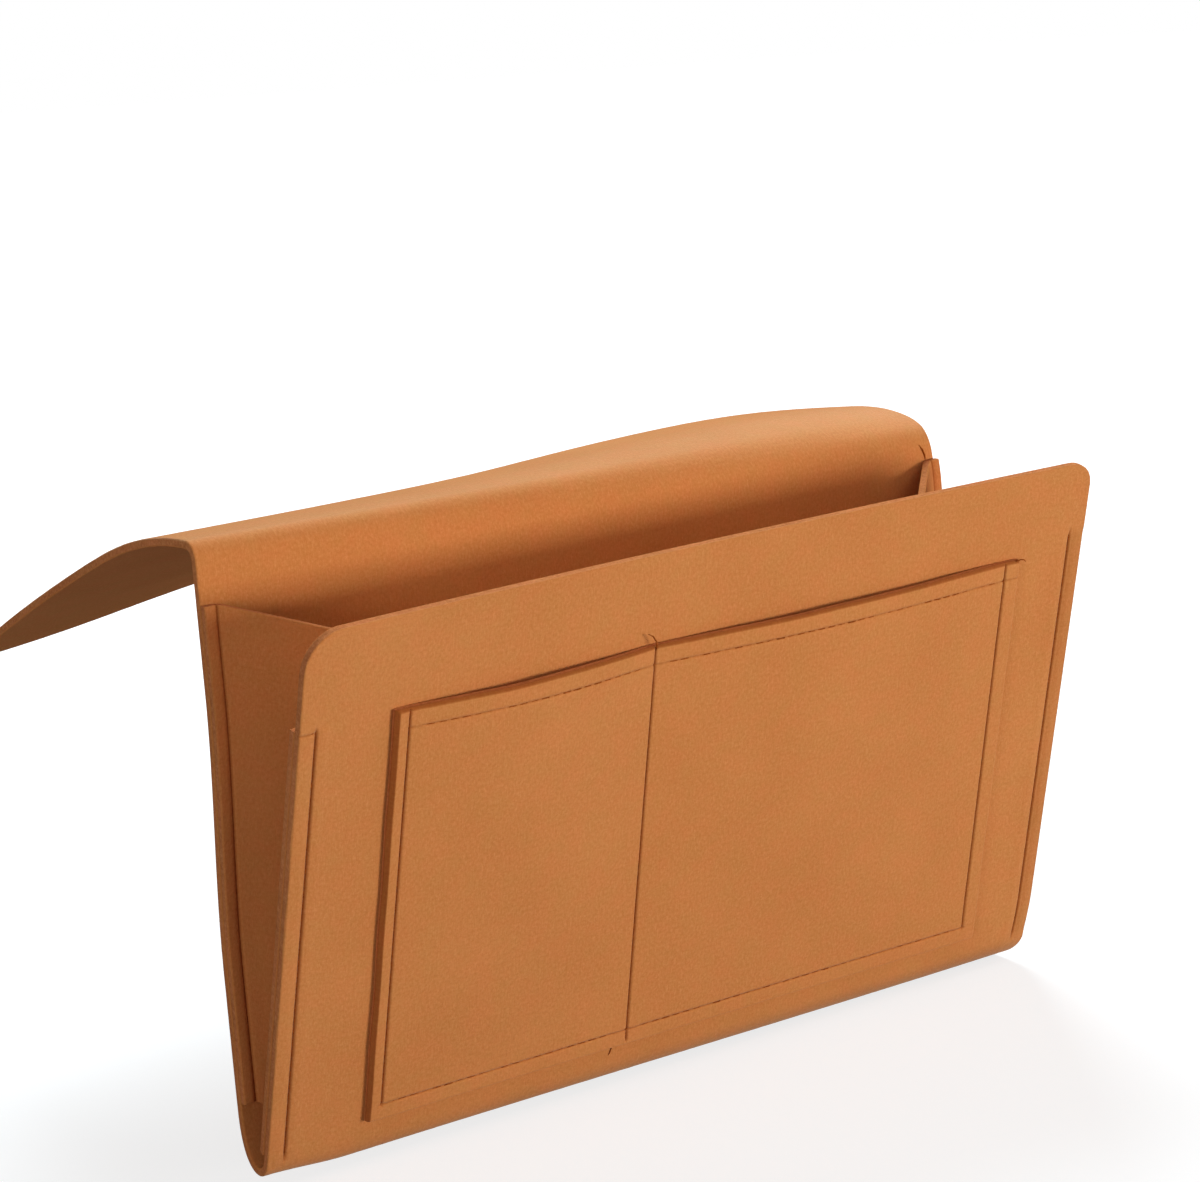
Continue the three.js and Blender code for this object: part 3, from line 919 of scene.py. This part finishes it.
def make_gusset(side, hand):
    """One gusset in one sheet, from its rear hem to its front hem, with its width and its area."""
    line = section(gusset_corners(hand, leaf_low[side], gusset_share),
                   (root_round, crease_round, root_round), section_steps)
    across = np.gradient(line, axis=1)
    along = np.gradient(line, gusset_share, axis=0)
    outwards = unit(np.cross(across, along)) * -hand
    steps_across = np.linalg.norm(np.diff(line, axis=1), axis=-1)
    u = np.concatenate([np.zeros((len(gusset_share), 1)), np.cumsum(steps_across, axis=1)], axis=1)
    u = u - u[:, crease_column:crease_column + 1]
    v = np.repeat(gusset_share[:, None] * gusset_height, line.shape[1], axis=1)
    width = float(u[-1, -1] - u[-1, 0])
    from_rear, from_front = u - u[:, :1], u[:, -1:] - u
    rim = np.minimum(np.minimum(v, v[-1:] - v), np.minimum(from_rear, from_front))
    from_seam = from_rear - half_width + rear_seam
    dark = np.maximum(rim_line(rim), squeezed_and_shaded(from_seam))
    half, fine = eased_half(rim), hair(u, v, 31 + hand)
    over, under = half + fine + groove(from_seam, 0.8 * mm, 0.2 * mm), half - fine
    flat = np.stack([u, v], axis=-1)
    if hand > 0:
        line, outwards, over, under, flat, rim, dark = (
            a[:, ::-1] for a in (line, outwards, over, under, flat, rim, dark))
    piece = build_sheet(f"{side}_gusset", line, outwards, over, under, flat, (dark, rim_line(rim)),
                        inner_felt)
    print(side, "gusset:", round(width, 4), "wide at the top")
    return piece, width, flat_area(line)


gussets = {side: make_gusset(side, hand) for side, hand in (("left", -1), ("right", 1))}

# %% [markdown]
# ## The pockets
#
# Two panels are sewn on: one outside on the front, one inside on the back. Each has a seam down both
# sides, one along the bottom and one that divides it, and a hem line under its mouth. Between the
# seams the felt stands off a little towards the mouth. A panel with a shape of its own would have to
# be fitted to its wall again after every change there. So each panel is one sheet whose place function
# adds that room to the wall behind it, and whose outer face is grooved along every seam.

# %% Make the two panels
walls = {"front_pocket": front_point, "inner_pocket": back_point}
edge_lift = 1.1 * mm
side_round, mouth_round = 1.5 * mm, 0.9 * mm
side_stray, end_stray = 0.22 * mm, 0.2 * mm


def panel_point(name, x, t, n):
    """A point of a panel, n in front of its rear face."""
    return walls[name](x, t, layer_gap + panel_room(panels[name], x, t) + n)


def make_panel(name, panel):
    """One pocket panel in one sheet."""
    left, right, low, high = (panel[side] for side in ("left", "right", "low", "high"))
    lines_x = stations(left, right, 3.4 * mm, panel_seams(panel))
    lines_t = stations(low, high, 3.4 * mm, (low + seam_inset, high - hem_depth))
    t, x = np.meshgrid(lines_t, lines_x, indexing="ij")
    stray_x = wander(t, x, left, 11, side_stray) + wander(t, x, right, 12, side_stray)
    stray_x = stray_x + edge_lift * (1 - ease(x, left, left + seam_inset))
    stray_t = wander(x, t, high, 13, end_stray) + wander(x, t, low, 14, end_stray)
    distance = edge_distance(x, t, left, right, low, high, 1.5 * mm)
    # The left cut edge and the mouth are rounded, and their rims are painted darker as shade.
    side_drop, side_shade = rounded_edge_shade(x - left, side_round)
    mouth_drop, mouth_shade = rounded_edge_shade(high - t, mouth_round)
    x, t = x + stray_x, t + stray_t

    def panel_middle(x, t):
        """The middle layer of this panel."""
        return panel_point(name, x, t, half_felt)

    middle = panel_middle(x, t)
    half, fine = eased_half(distance), hair(x, t, 41)
    sink, seam_dark = panel_marks(panel, x, t)
    over = np.minimum(half + fine + sink, half_felt + fine - np.maximum(side_drop, mouth_drop))
    dark = np.max([seam_dark, side_shade, mouth_shade], axis=0)
    print(name, "area:", round(flat_area(middle), 4))
    return build_sheet(f"{name}_panel", middle, slant(panel_middle, x, t), over, half,
                       np.stack([x, t], axis=-1), (dark, rim_line(distance)))


pocket_pieces = {name: make_panel(name, panel) for name, panel in panels.items()}

# %% [markdown]
# ## The stitches
#
# The seams are lockstitched in a dark brown thread: short stitches that dive into the felt at both
# ends, with a dimple between them. A pattern in the felt's finish could stand for them, but it would
# lie flat in the grooves and leave out the loose ends. One stitch is modelled from a six-sided rod
# whose ends are bevelled and bent down. It is then copied along each seam, into one mesh for each
# row.

# %% Model one stitch
stitch_length = 3.6 * mm
stitch_pitch = 4.5 * mm
stitch_radius = 0.36 * mm
stitch_dive = 0.4 * mm
stitch_bevel = 0.26 * mm
stitch_end = stitch_length / 2
bpy.ops.object.select_all(action="DESELECT")
bpy.ops.mesh.primitive_cylinder_add(vertices=6, radius=stitch_radius, depth=stitch_length,
                                    rotation=(0, math.pi / 2, 0))
stitch = bpy.context.object
bpy.ops.object.transform_apply(location=True, rotation=True, scale=True)
bpy.ops.object.mode_set(mode="EDIT")
for cut in (-0.54, 0.54):
    bpy.ops.mesh.select_all(action="SELECT")
    bpy.ops.mesh.bisect(plane_co=(cut * stitch_end, 0, 0), plane_no=(1, 0, 0))
bpy.ops.object.mode_set(mode="OBJECT")
for parts in (stitch.data.polygons, stitch.data.edges):
    parts.foreach_set("select", [False] * len(parts))
for vertex in stitch.data.vertices:
    vertex.select = abs(abs(vertex.co.x) - stitch_end) < 0.001 * mm
bpy.ops.object.mode_set(mode="EDIT")
bpy.ops.mesh.select_mode(type="VERT")
bpy.ops.mesh.bevel(offset=stitch_bevel, segments=1)
bpy.ops.object.mode_set(mode="OBJECT")
stitch_points = np.array([v.co[:] for v in stitch.data.vertices])
stitch_points[:, 2] -= stitch_dive * (stitch_points[:, 0] / stitch_end) ** 2
stitch_faces = [tuple(p.vertices) for p in stitch.data.polygons]
bpy.data.objects.remove(stitch)
print("one stitch:", len(stitch_faces), "faces")

# %% Make the thread's finish
thread_look, tree, shader = new_finish("sewing thread")
coordinates = tree.nodes.new("ShaderNodeTexCoord")
twist = add_node(tree, "ShaderNodeTexNoise", Scale=1500.0, Detail=2.0, Roughness=0.6)
tree.links.new(coordinates.outputs["Object"], twist.inputs["Vector"])
twist_share = twist.outputs["Fac"]
thread_color = mix_colors(tree, map_range(tree, twist_share, 0.35, 0.65), from_screen(116, 50, 12),
                          from_screen(160, 82, 30))
tree.links.new(thread_color, shader.inputs["Base Color"])
tree.links.new(map_range(tree, twist_share, 0.3, 0.7, 0.75, 0.5), shader.inputs["Roughness"])
ply = add_node(tree, "ShaderNodeBump", Strength=0.5, Distance=0.0001)
tree.links.new(twist_share, ply.inputs["Height"])
tree.links.new(ply.outputs["Normal"], shader.inputs["Normal"])
set_values(shader, Specular_IOR_Level=0.02, Sheen_Weight=0.0)
print("thread:", thread_look.name)

# %% Draw a loose thread end
tail_sides = 6


def tail_from(x, t, steps):
    """The points of a loose end, from steps in millimetres off a place on a seam."""
    return [(x + across * mm, t + along * mm, above * mm) for across, along, above in steps]


def draw_tail(place, tail, thick, first):
    """A thin tube along a loose end: its points, and its faces counted from first."""
    path = np.array([place(*p) for p in tail])
    last = len(path) - 1
    points, faces = [], []
    for i, centre in enumerate(path):
        along = unit(path[min(i + 1, last)] - path[max(i - 1, 0)])
        beside = unit(np.cross(along, np.array([0.3, -0.9, 0.2])))
        above = np.cross(along, beside)
        size = stitch_radius * thick * (1 if 0 < i < last else 0.5)
        for k in range(tail_sides):
            angle = 2 * math.pi * k / tail_sides
            points.append(centre + size * (math.cos(angle) * beside + math.sin(angle) * above))
    for i in range(last):
        for k in range(tail_sides):
            a, b = first + i * tail_sides + k, first + i * tail_sides + (k + 1) % tail_sides
            faces.append((a, b, b + tail_sides, a + tail_sides))
    faces.append(tuple(first + k for k in reversed(range(tail_sides))))
    faces.append(tuple(first + last * tail_sides + k for k in range(tail_sides)))
    return points, faces


# %% Sew a row
stitch_sway = 0.035
stitch_rise = 0.06 * mm


def sew(name, runs, tails=(), size=1.0):
    """A row of stitches made of one or more straight runs. Each run has a place function, where
    place(x, t, n) is a point n above a sheet's face, a start, an end and the depth of its groove.
    Each tail is a place function, a list of x, t, n for a loose end, and how thick it is drawn."""
    chance = np.random.default_rng(len(name) * 97)
    uneven = 0.03 * mm if size == 1 else 0.1 * mm
    points, faces = [], []
    for place, start, end, depth in runs:
        start, end = np.array(start), np.array(end)
        length = float(np.linalg.norm(place(*end, 0) - place(*start, 0)))
        count = max(1, int(round(length / stitch_pitch)))
        for i in range(count):
            middle = mix(start, end, (i + 0.5) / count)
            along = unit(place(*(middle + (end - start) * 0.001), -depth) - place(*middle, -depth))
            above = unit(place(*middle, 1 * mm) - place(*middle, 0))
            beside = np.cross(above, along)
            above = np.cross(along, beside)
            turn = chance.normal(0, stitch_sway)
            turned = along * math.cos(turn) + beside * math.sin(turn)
            beside = beside * math.cos(turn) - along * math.sin(turn)
            centre = place(*middle, -depth + stitch_rise + chance.normal(0, 1) * uneven)
            first = len(points) * len(stitch_points)
            thin = stitch_points * np.array([min(1, length / count / stitch_pitch), size, size])
            points.append(centre + thin @ np.stack([turned, beside, above]))
            faces += [tuple(k + first for k in face) for face in stitch_faces]
    points = np.concatenate(points)
    for place, tail, thick in tails:
        tail_points, tail_faces = draw_tail(place, tail, thick, len(points))
        points = np.concatenate([points, tail_points])
        faces += tail_faces
    row, mesh = new_piece(name, points, faces)
    mesh.materials.append(thread_look)
    bpy.ops.object.mode_set(mode="EDIT")
    bpy.ops.mesh.select_all(action="SELECT")
    bpy.ops.mesh.normals_make_consistent(inside=False)
    bpy.ops.object.mode_set(mode="OBJECT")
    bpy.ops.object.shade_smooth()
    return row


# %% Sew the pockets on
past = 1.2 * mm
mouth_end = ((0, -1.5, -0.3), (0.2, 0, 0.2), (-0.3, 2.2, 0.1), (-1.6, 4.2, -0.4), (-3.2, 5.0, -1.2))
foot_end = ((-4.0, -6.7, 0.1), (-4.1, -8.2, 0.3), (-4.6, -9.7, 0.3), (-5.2, -11.4, 0.1))
hem_end = ((4.6, -0.2, -0.6), (6.2, 0.4, 0.1), (7.6, 0.1, 0.2), (8.6, -0.9, -0.2))


def sew_panel(name, panel):
    """All six rows of a panel. The four round it also show on the far face of its wall."""
    wall = walls[name]
    left, divider, right = panel_seams(panel)
    low, high = panel["low"] + seam_inset, panel["high"]
    hem_line = high - hem_depth

    def panel_face(x, t, n):
        """A point n above the panel's own face."""
        return panel_point(name, x, t, felt + n)

    def far_face(x, t, n):
        """A point n behind the far face of the wall."""
        return wall(x, t, -felt - n)

    ends = [(panel_face, tail_from(divider, high, mouth_end), 0.75)]
    if name == "front_pocket":
        ends.append((wall, tail_from(divider, low, foot_end), 0.55))
    plan = {
        "left_seam": ((left, low), (left, high), seam_dip, (), 1.0),
        "divider_seam": ((divider, low - 5 * mm), (divider, high), seam_dip, ends, 1.0),
        "right_seam": ((right, low), (right, high), seam_dip, (), 1.0),
        "bottom_seam": ((left + past, low), (right - past, low), low_dip, (), 0.68),
        "left_hem_seam": ((left + past, hem_line), (divider - past, hem_line), hem_dip, (), 0.6),
        "right_hem_seam": ((divider + past, hem_line), (panel["right"] - past, hem_line), hem_dip,
                           [(panel_face, tail_from(right, high, hem_end), 0.7)], 0.6),
    }
    for seam, (start, end, depth, tails, size) in plan.items():
        runs = [(panel_face, start, end, depth)]
        if "hem" not in seam:
            runs.append((far_face, start, end, far_dip))
        rows_of_stitches[f"{name}_{seam}"] = sew(f"{name}_{seam}_stitches", runs, tails, size)


rows_of_stitches = {}
for name, panel in panels.items():
    sew_panel(name, panel)
print("rows on the pockets:", len(rows_of_stitches))

# %% Sew the gussets on
back_seam_dip = 0.8 * mm
bend_end = ((0, -1, -0.3), (-0.3, 2, 0.2), (-1.0, 4, 0.2), (-2.0, 5.8, -0.1))


def hem_face(x, z, n):
    """A point n above the face of a gusset's rear hem."""
    return back_point(x, z, layer_gap + felt + n)


def rear_face(x, z, n):
    """A point n behind the back's rear face."""
    return back_point(x, z, -felt - n)


def upper_face(x, w, n):
    """A point n above the upper face of back and flap."""
    return upper_middle(x, w) + slant(upper_middle, x, w) * (half_felt + n)


for side, hand in (("left", -1), ("right", 1)):
    low, high = (hand * rear_seam, gusset_low), (hand * rear_seam, gusset_high)
    cut_end = (upper_face, tail_from(rear_seam, gusset_high - back_bottom, bend_end), 1.0)
    rows_of_stitches[f"{side}_gusset_back_seam"] = sew(
        f"{side}_gusset_back_seam_stitches",
        [(hem_face, low, high, back_seam_dip), (rear_face, low, high, far_dip)],
        [cut_end] if hand > 0 else ())
    line_x = hand * gusset_seam
    runs = [(front_point, (line_x, gusset_front_low), (line_x, seam_tops[hand]), seam_dip)]
    if hand < 0:
        across_end = (line_x - 4.6 * mm, gusset_front_high)
        runs.append((front_point, (line_x, gusset_front_high), across_end, hem_dip))
    rows_of_stitches[f"{side}_gusset_front_seam"] = sew(f"{side}_gusset_front_seam_stitches", runs)
print("rows of stitches:", len(rows_of_stitches))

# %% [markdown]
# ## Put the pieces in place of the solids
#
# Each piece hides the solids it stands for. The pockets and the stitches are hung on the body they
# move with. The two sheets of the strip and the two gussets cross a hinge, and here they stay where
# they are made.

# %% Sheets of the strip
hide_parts("back_panel", "flap_bend", "flap")
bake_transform(back_sheet)
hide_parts("bottom_fold", "front_panel")
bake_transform(front_sheet)

# %% Gussets, pockets and stitches
# A gusset crosses the fold's joint as the bellows of a bag do: its rear hem is sewn to the back and
# its front hem to the front. Here it stays where it is made.
for side, (piece, width, area) in gussets.items():
    parts = [f"{side}_gusset_{part}" for part in ("back_hem", "back_leaf", "front_leaf", "front_hem")]
    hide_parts(*parts)
    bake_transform(piece)
for name, body, wall in (("front_pocket", "front", front_sheet), ("inner_pocket", "back", back_sheet)):
    piece, panel = pocket_pieces[name], panels[name]
    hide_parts(name)
    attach(piece, body)
for node, row in rows_of_stitches.items():
    body = "front" if node.startswith("front_pocket") or node.endswith("front_seam") else "back"
    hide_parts(node)
    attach(row, body)
